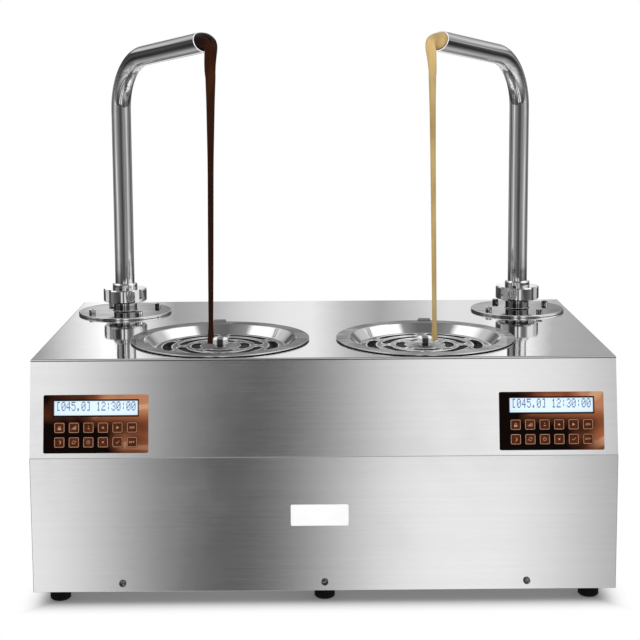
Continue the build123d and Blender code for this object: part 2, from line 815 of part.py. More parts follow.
# Display modules, each between the back of its control panel and the control board
with BuildPart() as displays:
    for side in sides.values():
        with BuildSketch(fascia_plane(side)):
            with Locations((0, window_y)):
                Rectangle(window_width + 2 * display_lap, window_height + 2 * display_lap)
        extrude(amount=-skirt_depth)
save(displays.part, "displays")

# Control boards, each with a dome under every key
with BuildPart() as control_boards:
    for side in sides.values():
        board_plane = fascia_plane(side).offset(board_top)
        with BuildSketch(board_plane):
            Rectangle(skirt_width, skirt_height)
        extrude(amount=-board_thickness)
        with BuildSketch(board_plane):
            with Locations(*key_places):
                Circle(dome_radius)
        extrude(amount=dome_top - board_top)
save(control_boards.part, "control_boards")

# Mains inlet: a bezel outside the rear panel, with the socket below and the switch pocket above
with BuildPart() as power_inlet:
    with BuildSketch(Plane.XZ.offset(-bezel_y)):
        with Locations((inlet_x, inlet_z)):
            Rectangle(inlet_width, inlet_height)
    extrude(amount=inlet_bezel)
    fillet(power_inlet.faces().sort_by(Axis.Y)[-1].edges(), inlet_edge_radius)
    with BuildSketch(Plane.XZ.offset(-rear_y)):
        with Locations((inlet_x, inlet_z)):
            body_lap = inlet_lap + seat_clearance
            Rectangle(inlet_width - 2 * body_lap, inlet_height - 2 * body_lap)
    extrude(amount=inlet_depth)
    with BuildSketch(Plane.XZ.offset(-bezel_y)):
        with Locations((inlet_x, socket_z)):
            RectangleRounded(socket_width, socket_height, socket_corner)
    extrude(amount=socket_depth, mode=Mode.SUBTRACT)
    with BuildSketch(Plane.XZ.offset(-bezel_y)):
        with Locations((inlet_x, rocker_z)):
            Rectangle(rocker_window_width, rocker_window_height)
    extrude(amount=rocker_window_depth, mode=Mode.SUBTRACT)
    with BuildSketch(Plane.XZ.offset(socket_depth - bezel_y)):
        with Locations((inlet_x, socket_z + blade_offset / 2)):
            Rectangle(blade_width, blade_height)
        with Locations((inlet_x, socket_z - blade_offset / 2)):
            with GridLocations(blade_spacing, 0, 2, 1):
                Rectangle(blade_width, blade_height)
    extrude(amount=-blade_length)
    with BuildSketch(Plane.YZ.offset(inlet_x)):
        with Locations((rocker_y, rocker_z)):
            Circle(rocker_pin_radius + running_clearance)
    pin_reach = rocker_window_width / 2 + rocker_pin_length + seat_clearance
    extrude(amount=pin_reach, both=True, mode=Mode.SUBTRACT)
save(power_inlet.part, "power_inlet")

# Power rocker, at rest with its upper half pressed in
with BuildPart() as power_rocker:
    with BuildSketch(Plane.YZ.offset(inlet_x)):
        with Locations(Location((rocker_y, rocker_z, 0), (0, 0, rocker_tilt))):
            Polygon(
                (rocker_face - rocker_dip, 0),
                (rocker_face, rocker_half_height),
                (-rocker_root, rocker_root_half),
                (-rocker_root, -rocker_root_half),
                (rocker_face, -rocker_half_height),
                align=None,
            )
    extrude(amount=rocker_window_width / 2 - moving_clearance, both=True)
    with BuildSketch(Plane.YZ.offset(inlet_x)):
        with Locations((rocker_y, rocker_z)):
            Circle(rocker_pin_radius)
    extrude(amount=rocker_window_width / 2 + rocker_pin_length, both=True)
save(power_rocker.part, "power_rocker")

# Pieces that each side has
side_pieces = {
    "side_panel": make_side_panel,
    "dish": make_dish,
    "drain_grate": make_drain_grate,
    "grate_knob": make_grate_knob,
    "auger": make_auger,
    "riser_flange": make_riser_flange,
    "union_nut": make_union_nut,
    "spout": make_spout,
    "control_panel": make_control_panel,
}
for side_name, side in sides.items():
    for piece_name, make_piece in side_pieces.items():
        save(make_piece(side), f"{side_name}_{piece_name}")
    for number, place in enumerate(key_places, start=1):
        save(make_key(side, place), f"{side_name}_key_{number}")
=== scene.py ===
import json
import math
import bmesh
import bpy
import numpy as np
from mathutils import Matrix, Vector

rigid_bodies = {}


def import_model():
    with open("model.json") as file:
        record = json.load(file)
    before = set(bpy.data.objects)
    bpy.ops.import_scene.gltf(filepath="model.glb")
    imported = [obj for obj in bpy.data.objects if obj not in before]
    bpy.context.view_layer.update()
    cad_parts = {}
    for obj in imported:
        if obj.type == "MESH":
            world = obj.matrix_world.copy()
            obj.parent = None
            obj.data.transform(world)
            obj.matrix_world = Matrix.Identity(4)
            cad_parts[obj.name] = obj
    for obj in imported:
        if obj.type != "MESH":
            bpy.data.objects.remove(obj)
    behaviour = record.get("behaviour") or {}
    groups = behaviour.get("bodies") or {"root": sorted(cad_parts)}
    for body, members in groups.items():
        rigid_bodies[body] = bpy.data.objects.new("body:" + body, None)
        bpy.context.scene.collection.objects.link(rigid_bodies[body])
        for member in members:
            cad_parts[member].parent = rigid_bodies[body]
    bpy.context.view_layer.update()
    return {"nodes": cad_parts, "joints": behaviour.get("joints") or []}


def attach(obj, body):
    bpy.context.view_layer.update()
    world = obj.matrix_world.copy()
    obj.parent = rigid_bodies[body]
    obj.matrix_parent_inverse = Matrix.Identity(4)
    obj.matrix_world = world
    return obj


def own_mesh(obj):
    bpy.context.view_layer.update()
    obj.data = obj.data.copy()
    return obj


for old in list(bpy.data.objects):  # the start-up cube, lamp and camera
    bpy.data.objects.remove(old)
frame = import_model()
nodes = frame["nodes"]
scene = bpy.context.scene
scene.view_settings.view_transform = "Standard"
mm = 0.001
sides = {"left": -1, "right": 1}
middles = {"bowl": (136.0, -78.5), "riser": (289.0, 130.5)}  # of the right half, which the left half mirrors
print("frame loaded:", len(nodes), "nodes")


# Shapes: lengths are in millimetres until makePiece

def sheetOf(points, wrapRows=False, wrapColumns=False):
    # the points of a grid, and the quads between neighbouring points
    rows, columns = points.shape[:2]
    i = np.arange(rows if wrapRows else rows - 1)[:, None]
    j = np.arange(columns if wrapColumns else columns - 1)[None, :]
    here, there, beside = i * columns, (i + 1) % rows * columns, (j + 1) % columns
    quads = np.stack([here + j, here + beside, there + beside, there + j], -1)
    return points.reshape(-1, 3), quads.reshape(-1, 4)


def carried(path, radii, lateral, steps):
    # a ring of each radius set square to a path that lies in one upright plane; lateral is that plane's normal
    along = np.gradient(path, axis=0)
    along /= np.linalg.norm(along, axis=1)[:, None]
    upward = np.cross(lateral, along)
    angle = np.linspace(0, 2 * np.pi, steps, endpoint=False)
    ring = np.cos(angle)[None, :, None] * lateral + np.sin(angle)[None, :, None] * upward[:, None, :]
    return path[:, None, :] + np.asarray(radii)[:, None, None] * ring


def makePiece(name, surfaces, look, body, sharp=35, closed=True):
    # joins the surfaces into one mesh in metres, merges seams and poles, and lets it ride on its body
    starts = np.cumsum([0] + [len(points) for points, _ in surfaces])
    points = np.concatenate([points for points, _ in surfaces]) * mm
    quads = np.concatenate([quads + start for (_, quads), start in zip(surfaces, starts)])
    mesh = bpy.data.meshes.new(name)
    mesh.from_pydata(points.tolist(), [], quads.tolist())
    work = bmesh.new()
    work.from_mesh(mesh)
    bmesh.ops.remove_doubles(work, verts=work.verts, dist=2e-6)
    if closed:
        bmesh.ops.recalc_face_normals(work, faces=work.faces)
    work.to_mesh(mesh)
    work.free()
    mesh.shade_smooth()
    mesh.set_sharp_from_angle(angle=math.radians(sharp))
    mesh.materials.append(look)
    piece = bpy.data.objects.new(name, mesh)
    scene.collection.objects.link(piece)
    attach(piece, body)
    return piece


# Shader sums: arithmetic on a Tap adds Math nodes

class Tap:
    def __init__(self, tree, socket=None):
        self.tree, self.socket = tree, socket

    def node(self, kind, settings=None, inputs=None, output=0):
        # any node: its settings first, then the values or links of its sockets
        made = self.tree.nodes.new("ShaderNode" + kind)
        for key, value in (settings or {}).items():
            if key == "stops":
                band = made.color_ramp.elements
                band.remove(band[1])
                for index, (place, colour) in enumerate(value):
                    element = band.new(place) if index else band[0]
                    element.position = place
                    element.color = (*colour, 1) if isinstance(colour, tuple) else (colour, colour, colour, 1)
            else:
                setattr(made, key, value)
        for key, value in (inputs or {}).items():
            if isinstance(value, Tap):
                self.tree.links.new(value.socket, made.inputs[key])
            else:
                made.inputs[key].default_value = value
        return Tap(self.tree, made.outputs[output] if made.outputs else None)

    def math(self, operation, *values):
        return self.node("Math", {"operation": operation}, dict(enumerate(values)))

    def __add__(self, other):
        return self.math("ADD", self, other)

    __radd__ = __add__

    def __mul__(self, other):
        return self.math("MULTIPLY", self, other)

    __rmul__ = __mul__

    def __sub__(self, other):
        return self.math("SUBTRACT", self, other)

    def __rsub__(self, other):
        return self.math("SUBTRACT", other, self)

    def __truediv__(self, other):
        return self.math("DIVIDE", self, other)

    def __pow__(self, other):
        return self.math("POWER", self, other)

    def __abs__(self):
        return self.math("ABSOLUTE", self)

    def rise(self, low, high):
        # 0 below low, 1 above high, smooth between
        return self.node("MapRange", {"interpolation_type": "SMOOTHSTEP"}, {0: self, 1: low, 2: high, 3: 0, 4: 1})

    def ramp(self, *stops):
        return self.node("ValToRGB", {"stops": stops}, {0: self})

    def blend(self, first, second):
        # a colour that goes from first to second as this value goes from 0 to 1
        return self.node("Mix", {"data_type": "RGBA"}, {0: self, 6: first, 7: second}, 2)

    def greys(self, tones):
        return self.blend(grey(tones[0]), grey(tones[1]))

    def parts(self):
        # the x, y and z of a vector
        split = self.node("SeparateXYZ", {}, {0: self}).socket.node
        return [Tap(self.tree, output) for output in split.outputs]

    def place(self, turn=(0, 0, 0), scale=(1, 1, 1)):
        # Object coordinates through a Mapping node
        coords = self.node("TexCoord", output="Object")
        return self.node("Mapping", {}, {"Vector": coords, "Rotation": turn, "Scale": scale})

    def noise(self, vector, scale, detail=3.0, rough=0.55, warp=0.0):
        return self.node("TexNoise", {}, {"Vector": vector, "Scale": scale, "Detail": detail,
                                          "Roughness": rough, "Distortion": warp})

    def bump(self, height, strength, distance):
        return self.node("Bump", {}, {"Height": height, "Strength": strength, "Distance": distance})


def makeLook(name, recipe, *values):
    look = bpy.data.materials.new(name)
    look.use_nodes = True
    look.node_tree.nodes.clear()
    start = Tap(look.node_tree)
    shader = start.node("BsdfPrincipled", {}, recipe(start, *values))
    start.node("OutputMaterial", {}, {"Surface": shader})
    return look


def grey(level, warm=0.0):
    return (level * (1 + warm), level, level * (1 - warm), 1)


# Polished steel: smudges, crossed hairline scratches and a slight waviness
polished = {"tone": (0.77, 0.80), "rough": 0.045, "smudge": 0.05, "scratch": 0.05, "wave": 0.06,
            "smudgeScale": 14, "waveScale": 22, "scratchRun": (2600, 60, 90), "hairRun": (70, 2400, 80)}


def polishedRecipe(start):
    at = start.place()
    smudge = start.noise(at, polished["smudgeScale"], 4, 0.6)
    scratch = start.noise(start.place((0.3, 0.2, 0.5), polished["scratchRun"]), 1, 2)
    hair = start.noise(start.place((0.2, 0.4, -0.35), polished["hairRun"]), 1, 2)
    lines = (scratch * hair).rise(0.34, 0.48)
    wave = start.noise(at, polished["waveScale"], 2) + lines * 0.02
    return {
        "Base Color": smudge.rise(0.3, 0.7).greys(polished["tone"]),
        "Metallic": 1.0,
        "Roughness": polished["rough"] + smudge.rise(0.45, 0.75) * polished["smudge"] + lines * polished["scratch"],
        "Normal": start.bump(wave, polished["wave"], 0.002),
    }


def ringOf(start, middle):
    # distance in metres from the upright line through the nearer of two mirrored middles, and the height
    x, y, z = start.place().parts()
    across, along = abs(x) - middle[0] * mm, y - middle[1] * mm
    return (across ** 2 + along ** 2) ** 0.5, z


# Bowls: the flat rim and its tab are duller than the wall, a painted reflection in their colour, and the rim's painted
# tone is darker on the left than on the right
bowl = {"rim": (0.1005, 0.1175), "rimFade": (0.001, 0.0008), "rimMetal": 0.28,
        "rimTone": {"left": (0.07, 0.19), "right": (0.15, 0.36)}, "stainRun": (9, 26, 9),
        "tab": (0.3128, 0.3132), "tabTone": 0.32}


def dishRecipe(start, tone):
    recipe = polishedRecipe(start)
    radius, height = ringOf(start, middles["bowl"])
    inner, outer = (radius.rise(edge, edge + fade) for edge, fade in zip(bowl["rim"], bowl["rimFade"]))
    rim, tab = inner * (1.0 - outer), height.rise(*bowl["tab"])
    stain = start.noise(start.place(scale=bowl["stainRun"]), 1.6, 4, 0.6).rise(0.3, 0.72)
    # painted reflection: the rim and the tab are coloured dull
    steel = rim.blend(recipe["Base Color"], stain.greys(tone))
    recipe["Base Color"] = tab.blend(steel, grey(bowl["tabTone"]))
    recipe["Metallic"] = 1.0 - start.math("MAXIMUM", rim, tab) * (1.0 - bowl["rimMetal"])
    recipe["Specular IOR Level"] = 0.0
    return recipe


# Riser discs: a dull face inside a bright edge, the face's dull colour a painted reflection
disc = {"radius": 0.0655, "radiusFade": 0.001, "face": (0.3131, 0.3135), "tone": (0.28, 0.52), "graze": 0.75,
        "stainRun": (14, 20, 14)}


def discRecipe(start):
    recipe = polishedRecipe(start)
    radius, height = ringOf(start, middles["riser"])
    edge = radius.rise(disc["radius"], disc["radius"] + disc["radiusFade"])
    face = (1.0 - edge) * height.rise(*disc["face"])
    stain = start.noise(start.place(scale=disc["stainRun"]), 1.4, 4, 0.6).rise(0.3, 0.7)
    # painted reflection: the face is coloured dull
    recipe["Base Color"] = face.blend(recipe["Base Color"], stain.greys(disc["tone"]))
    recipe["Specular Tint"] = grey(disc["graze"])
    return recipe


# Cap screws: specks between a dark and a bright tone, painted reflection glints
capScrew = {"tone": (0.12, 0.95), "speckScale": 170}


def capScrewRecipe(start):
    recipe = polishedRecipe(start)
    specks = start.noise(start.place(), capScrew["speckScale"], 2, 0.5).rise(0.45, 0.55)
    # painted glints: specks between the dark and the bright tone
    recipe["Base Color"] = specks.greys(capScrew["tone"])
    return recipe


# Drain grates: a dull face, a painted reflection whose tone is darker on the left than on the right, and painted shade
# on the walls in the slots
drain = {"tone": {"left": (0.05, 0.19), "right": (0.09, 0.46)}, "slotShade": (0.02, 0.07), "face": (0.3002, 0.3008),
         "metal": 0.35, "stainScale": 26}


def grateRecipe(start, tone):
    recipe = polishedRecipe(start)
    x, y, z = start.place().parts()
    stain = start.noise(start.place(), drain["stainScale"], 4, 0.6).rise(0.3, 0.7)
    # painted shade on the slot walls below the face, painted reflection on the face
    recipe["Base Color"] = z.rise(*drain["face"]).blend(stain.greys(drain["slotShade"]), stain.greys(tone))
    recipe["Metallic"] = drain["metal"]
    recipe["Specular IOR Level"] = 0.0
    return recipe


# Grate knobs: a painted reflection, a dark band up the middle between bright sides
knob = {"band": (0.0030, 0.0054), "tone": (0.05, 0.98), "metal": 0.35, "addedRough": 0.20}


def knobRecipe(start):
    recipe = polishedRecipe(start)
    x, y, z = start.place().parts()
    beside = abs(abs(x) - middles["bowl"][0] * mm).rise(*knob["band"])
    # painted reflection: dark band in the middle, bright sides
    recipe["Base Color"] = beside.greys(knob["tone"])
    recipe["Metallic"] = knob["metal"]
    recipe["Roughness"] = recipe["Roughness"] + knob["addedRough"]
    return recipe


# Drawn tube: fine streaks, partly drawn grain and partly painted reflection, run along the upright below the bend and
# along the spout above it
tube = {"heading": (0.5907, 0.8069), "slope": 0.105, "bend": (0.58, 0.66), "fine": 420, "long": 5,
        "tone": (0.60, 0.95)}


def tubeRecipe(start):
    recipe = polishedRecipe(start)
    x, y, z = start.place().parts()
    headX, headY = tube["heading"]  # level way from a bowl to its riser
    fine, long = tube["fine"], tube["long"]
    inward = abs(x)
    across, along = inward * headY - y * headX, inward * headX + y * headY
    upright = start.node("CombineXYZ", {}, {0: inward * fine, 1: y * fine, 2: z * long})
    level = start.node("CombineXYZ", {}, {0: across * fine, 1: (z + along * tube["slope"]) * fine, 2: along * long})
    grain = z.rise(*tube["bend"]).blend(start.noise(upright, 1, 3, 0.6), start.noise(level, 1, 3, 0.6))
    # the streaks are partly drawn grain and partly painted reflection
    recipe["Base Color"] = grain.ramp((0.0, 0.0), (0.38, 0.0), (0.62, 1.0)).greys(tube["tone"])
    return recipe


# Satin sheet: grain that runs across the body
satin = {"tone": (0.78, 0.83), "rough": 0.085, "grain": 0.045, "smudge": 0.03, "grainRun": (9, 900, 900),
         "longRun": (2, 160, 160), "smudgeScale": 9}


def satinRecipe(start):
    grain = start.noise(start.place(scale=satin["grainRun"]), 1, 5, 0.7)
    long = start.noise(start.place(scale=satin["longRun"]), 1, 3)
    smudge = start.noise(start.place(), satin["smudgeScale"], 4, 0.6)
    return {
        "Base Color": (grain * 0.6 + long * 0.4).rise(0.25, 0.75).greys(satin["tone"]),
        "Metallic": 1.0,
        "Roughness": satin["rough"] + grain * satin["grain"] + smudge.rise(0.45, 0.8) * satin["smudge"],
        "Normal": start.bump(grain, 0.05, 0.0004),
    }


# Machined pump steel
pump = {"low": grey(0.42), "high": grey(0.55, 0.02), "rough": 0.28, "film": 0.2, "filmScale": 30, "toolScale": 400}


def pumpRecipe(start):
    at = start.place()
    film = start.noise(at, pump["filmScale"], 5, 0.6)
    return {
        "Base Color": film.rise(0.35, 0.7).blend(pump["low"], pump["high"]),
        "Metallic": 1.0,
        "Roughness": pump["rough"] + film * pump["film"],
        "Normal": start.bump(start.noise(at, pump["toolScale"], 2), 0.08, 0.0006),
    }


# Tanks: blasted inside, so they scatter what light comes through the grate, and toned dark grey as painted shade in
# the hollow under it
tank = {"tone": (0.20, 0.32), "metal": 0.15}


def tankRecipe(start):
    recipe = pumpRecipe(start)
    film = start.noise(start.place(), pump["filmScale"], 5, 0.6)
    # painted shade: the inside is toned dark grey
    recipe["Base Color"] = film.rise(0.35, 0.7).greys(tank["tone"])
    recipe["Metallic"] = tank["metal"]
    return recipe


# Black oxide, rubber and plastics
oxide = {"tone": (0.06, 0.50), "rough": 0.07, "specks": 0.12, "speckScale": 320, "grainScale": 1500}


def oxideRecipe(start):
    at = start.place()
    specks = start.noise(at, oxide["speckScale"], 4, 0.65)
    return {
        "Base Color": specks.rise(0.45, 0.7).greys(oxide["tone"]),
        "Metallic": 1.0,
        "Roughness": oxide["rough"] + specks * oxide["specks"],
        "Normal": start.bump(start.noise(at, oxide["grainScale"], 2), 0.1, 0.0003),
    }


rubber = {"low": grey(0.005), "high": grey(0.022, 0.03), "rough": 0.62, "dust": 0.2, "shine": 0.15,
          "dustScale": 90, "poreScale": 1800}


def rubberRecipe(start):
    at = start.place()
    dust = start.noise(at, rubber["dustScale"], 5, 0.6)
    return {
        "Base Color": dust.rise(0.5, 0.85).blend(rubber["low"], rubber["high"]),
        "Roughness": rubber["rough"] + dust * rubber["dust"],
        "Specular IOR Level": rubber["shine"],
        "Normal": start.bump(start.noise(at, rubber["poreScale"], 3), 0.25, 0.0004),
    }


# Seals: black under the bowls, pale silicone under the riser flanges
seal = {"flange": (0.068, 0.07), "pale": 0.60}


def sealRecipe(start):
    recipe = rubberRecipe(start)
    radius, height = ringOf(start, middles["riser"])
    recipe["Base Color"] = radius.rise(*seal["flange"]).blend(grey(seal["pale"]), recipe["Base Color"])
    return recipe


plastic = {"tone": (0.02, 0.035), "rough": 0.38, "grain": 0.14, "patchScale": 60, "grainScale": 700, "poreScale": 2600}


def plasticRecipe(start):
    at = start.place()
    return {
        "Base Color": start.noise(at, plastic["patchScale"], 4).rise(0.4, 0.8).greys(plastic["tone"]),
        "Roughness": plastic["rough"] + start.noise(at, plastic["grainScale"], 3) * plastic["grain"],
        "Normal": start.bump(start.noise(at, plastic["poreScale"], 2), 0.2, 0.0002),
    }


# Inside: ribbed heater mats, painted motors and circuit boards
heater = {"low": (0.33, 0.07, 0.03, 1), "high": (0.45, 0.11, 0.05, 1), "rough": 0.62, "ribScale": 60.0, "uneven": 0.4}


def heaterRecipe(start):
    ribs = start.node("TexWave", {"bands_direction": "Z"}, {
        "Vector": start.place(), "Scale": heater["ribScale"], "Distortion": heater["uneven"]}, 1)
    return {
        "Base Color": ribs.blend(heater["low"], heater["high"]),
        "Roughness": heater["rough"],
        "Normal": start.bump(ribs, 0.4, 0.0006),
    }


motor = {"low": (0.045, 0.05, 0.06, 1), "high": (0.07, 0.075, 0.085, 1), "rough": 0.42, "grain": 0.12,
         "patchScale": 40, "grainScale": 600, "peelScale": 900}


def motorRecipe(start):
    at = start.place()
    return {
        "Base Color": start.noise(at, motor["patchScale"], 4).rise(0.4, 0.75).blend(motor["low"], motor["high"]),
        "Roughness": motor["rough"] + start.noise(at, motor["grainScale"], 2) * motor["grain"],
        "Normal": start.bump(start.noise(at, motor["peelScale"], 3), 0.2, 0.0004),
    }


board = {"first": (0.01, 0.10, 0.04, 1), "second": (0.015, 0.13, 0.05, 1), "track": (0.05, 0.20, 0.09, 1),
         "scale": 160.0, "offset": 0.4, "rough": 0.45}


def boardRecipe(start):
    flat = start.place((math.radians(90), 0, 0))
    tracks = start.node("TexBrick", {"offset": board["offset"]}, {
        "Vector": flat, "Scale": board["scale"], "Color1": board["first"], "Color2": board["second"],
        "Mortar": board["track"]})
    return {"Base Color": tracks, "Roughness": board["rough"]}


looks = {
    "polished_steel": makeLook("polishedSteel", polishedRecipe),
    "satin_steel": makeLook("satinSteel", satinRecipe),
    "pump_steel": makeLook("pumpSteel", pumpRecipe),
    "black_screw": makeLook("blackOxide", oxideRecipe),
    "black_rubber": makeLook("rubber", rubberRecipe),
    "black_plastic": makeLook("blackPlastic", plasticRecipe),
    "heater_silicone": makeLook("heaterSilicone", heaterRecipe),
    "motor_paint": makeLook("motorPaint", motorRecipe),
    "board": makeLook("circuitBoard", boardRecipe),
}
print("steel, rubber and plastic looks made")


# Control panels: a slanted frame of reference on the fascia
panelPlace = {"x": 283.0, "y": -212.729, "z": 231.178, "slant": math.atan2(23.5, 117.0), "keyFace": 1.6,
              "keyPitch": 18.0, "keyTopRow": -4.5, "keyColumns": 6, "windowRise": 19.5, "displayFace": 0.0}
slantUp = np.array([0, math.sin(panelPlace["slant"]), math.cos(panelPlace["slant"])])
slantOut = np.array([0, -math.cos(panelPlace["slant"]), math.sin(panelPlace["slant"])])


def onPanel(flat, side, lift):
    # (u, v) across and up the slanted panel, lift off the fascia
    centre = np.array([sides[side] * panelPlace["x"], panelPlace["y"], panelPlace["z"]])
    flat = np.asarray(flat, float)
    return centre + flat[..., :1] * np.array([1.0, 0, 0]) + flat[..., 1:] * slantUp + lift * slantOut


def millimetres(start):
    # Object coordinates in millimetres
    return start.place(scale=(1000, 1000, 1000))


def panelCoords(start):
    # u, v of the nearer panel in millimetres
    x, y, z = millimetres(start).parts()
    u = x - start.math("SIGN", x) * panelPlace["x"]
    v = (y - panelPlace["y"]) * float(slantUp[1]) + (z - panelPlace["z"]) * float(slantUp[2])
    return u, v


def windowBorder(start, u, v, half):
    # 1 on a rectangle of these half sizes about the display window's middle, less inside it
    return start.math("MAXIMUM", abs(u) / half[0], abs(v - panelPlace["windowRise"]) / half[1])


# Keypad print: a slope across the panel runs from dark to copper, and soft ribbons cross it
overlay = {"dark": (0.004, 0.0015, 0.001), "brown": (0.070, 0.020, 0.008), "copper": (0.335, 0.108, 0.046),
           "pale": (0.47, 0.20, 0.10), "glint": (0.72, 0.45, 0.27, 1), "windowShadow": (53.9, 10.9),
           "slope": (0.0062, 0.0098), "slopeWarp": 0.8, "slopeStart": 0.04,
           "ribbon": (0.030, 0.105), "ribbonWarp": 6.0, "ribbonDepth": 0.17, "warpScale": 0.018,
           "rough": 0.42, "grain": 0.08, "shine": 0.04}


def overlayRecipe(start):
    u, v = panelCoords(start)
    at = millimetres(start)
    warp = start.noise(at, overlay["warpScale"], 2, 0.45)
    slope = u * overlay["slope"][0] + v * overlay["slope"][1] + warp * overlay["slopeWarp"] + overlay["slopeStart"]
    wave = u * overlay["ribbon"][0] - v * overlay["ribbon"][1] + warp * overlay["ribbonWarp"]
    ribbon = start.math("SINE", wave)
    tone = (slope + ribbon * overlay["ribbonDepth"]).ramp(
        (0.0, overlay["dark"]), (0.30, overlay["dark"]), (0.52, overlay["brown"]), (0.80, overlay["copper"]),
        (1.0, overlay["pale"]))
    glint = ribbon.rise(0.80, 0.99) * slope.rise(0.35, 0.75) * 0.5
    # painted shade: a dark line round the display window, where its recess is
    windowShadow = windowBorder(start, u, v, overlay["windowShadow"]).rise(0.98, 1.0)
    return {
        "Base Color": windowShadow.blend((*overlay["dark"], 1), glint.blend(tone, overlay["glint"])),
        "Roughness": overlay["rough"] + start.noise(at, 0.6, 3) * overlay["grain"],
        "Specular IOR Level": overlay["shine"],
        "Normal": start.bump(start.noise(at, 1.4, 2), 0.04, 0.0003),
    }


keyFoil = {"low": (0.060, 0.012, 0.003, 1), "high": (0.110, 0.025, 0.007, 1), "rough": 0.40, "grain": 0.1,
           "shine": 0.06}


def keyRecipe(start):
    at = millimetres(start)
    return {
        "Base Color": start.noise(at, 0.25, 4).rise(0.3, 0.75).blend(keyFoil["low"], keyFoil["high"]),
        "Roughness": keyFoil["rough"] + start.noise(at, 2.2, 2) * keyFoil["grain"],
        "Specular IOR Level": keyFoil["shine"],
        "Normal": start.bump(start.noise(at, 1.8, 2), 0.06, 0.0003),
    }


keyPrint = {"low": (0.36, 0.19, 0.115, 1), "high": (0.58, 0.37, 0.25, 1), "rough": 0.5}


def keyInkRecipe(start):
    worn = start.noise(millimetres(start), 0.7, 4, 0.65).rise(0.3, 0.7)
    return {"Base Color": worn.blend(keyPrint["low"], keyPrint["high"]), "Roughness": keyPrint["rough"]}


# Displays: a backlight that falls off towards the window's edges, faint cells and a dark border, painted shade of the
# window's recess
display = {"base": (0.05, 0.08, 0.10, 1), "dim": (0.16, 0.30, 0.50, 1), "bright": (0.74, 0.87, 1.0, 1),
           "recessShade": (0.004, 0.003, 0.003, 1), "window": (56.0, 12.0), "lit": (51.4, 8.7), "cell": (6.2, 12.4),
           "edgeFade": 0.35, "cellFade": 0.035, "rough": 0.25}


def displayRecipe(start):
    u, v = panelCoords(start)
    halfU, halfV = display["window"]
    edge = (u / halfU) ** 2 * 0.5 + ((v - panelPlace["windowRise"]) / halfV) ** 2 * 0.5
    cellU, cellV = (start.math("FRACT", value / size) for value, size in zip((u, v), display["cell"]))
    cell = cellU.rise(0.0, 0.12) * cellV.rise(0.0, 0.05)
    backlight = 1.0 - edge.rise(0.1, 1.2) * display["edgeFade"]
    glow = backlight * ((1.0 - display["cellFade"]) + cell * display["cellFade"])
    # painted shade: a dark edge round the lit window, where its recess is
    windowShadow = windowBorder(start, u, v, display["lit"]).rise(0.99, 1.02)
    return {
        "Base Color": display["base"],
        "Roughness": display["rough"],
        "Emission Color": windowShadow.blend(glow.blend(display["dim"], display["bright"]), display["recessShade"]),
        "Emission Strength": 1.0,
    }


displayDots = {"base": (0.02, 0.04, 0.07, 1), "low": (0.07, 0.13, 0.26, 1), "high": (0.11, 0.19, 0.34, 1),
               "rough": 0.4}


def displayInkRecipe(start):
    fade = start.noise(millimetres(start), 0.4, 3)
    return {
        "Base Color": displayDots["base"],
        "Roughness": displayDots["rough"],
        "Emission Color": fade.blend(displayDots["low"], displayDots["high"]),
        "Emission Strength": 1.0,
    }


looks["overlay"] = makeLook("overlayPrint", overlayRecipe)
looks["key_plastic"] = makeLook("keyFoil", keyRecipe)
looks["display"] = makeLook("displayGlow", displayRecipe)
keyInk = makeLook("keyInk", keyInkRecipe)
displayInk = makeLook("displayInk", displayInkRecipe)
for node in nodes.values():
    for index, slot in enumerate([material.name for material in node.data.materials]):
        node.data.materials[index] = looks[slot.split(".")[0]]

# Pieces with a finish of their own
discSteel, knobSteel = makeLook("discSteel", discRecipe), makeLook("knobSteel", knobRecipe)
tubeSteel, tankSteel = makeLook("tubeSteel", tubeRecipe), makeLook("tankSteel", tankRecipe)
finishes = {"tank_walls": tankSteel, "tank_bottoms": tankSteel, "seals": makeLook("sealRubber", sealRecipe),
            "flange_screws": makeLook("capScrewSteel", capScrewRecipe)}
for side in sides:
    finishes.update({
        f"{side}_riser_flange": discSteel, f"{side}_grate_knob": knobSteel, f"{side}_spout": tubeSteel,
        f"{side}_dish": makeLook(f"{side}BowlSteel", dishRecipe, bowl["rimTone"][side]),
        f"{side}_drain_grate": makeLook(f"{side}GrateSteel", grateRecipe, drain["tone"][side]),
    })
for name, look in finishes.items():
    nodes[name].data.materials[0] = look
print("CAD nodes dressed")


# Marks on the keys: every mark is a strip between two flat curves, in millimetres about the key's middle

def strip(first, second):
    # two curves, joined point to point
    return np.stack([np.asarray(first, float), np.asarray(second, float)])


def bar(x0, y0, x1, y1, width):
    # a straight stroke of the given width
    along = np.array([x1 - x0, y1 - y0], float)
    off = np.array([-along[1], along[0]]) / np.linalg.norm(along) * width / 2
    ends = np.array([[x0, y0], [x1, y1]])
    return strip(ends - off, ends + off)


def ringPart(radius, width, start=0.0, sweep=360.0, middle=(0, 0), steps=28):
    # part of a ring: (r cos a, r sin a) for the two radii
    angle = np.radians(np.linspace(start, start + sweep, steps))
    way = np.stack([np.cos(angle), np.sin(angle)], -1)
    return strip(middle + (radius + width / 2) * way, middle + (radius - width / 2) * way)


def wedge(tip, left, right):
    # a triangle: its tip twice, against its other two corners
    return strip([tip, tip], [left, right])


def moon(sweep=115, steps=26):
    # a crescent: part of a circle against part of a narrower ellipse
    angle = np.radians(np.linspace(-sweep, sweep, steps))
    outer = np.stack([2.3 * np.cos(angle), 2.3 * np.sin(angle)], -1)
    inner = np.stack([1.5 * np.cos(angle) - 0.35, 2.15 * np.sin(angle)], -1)
    return strip(outer + (-0.3, 0), inner + (-0.3, 0))


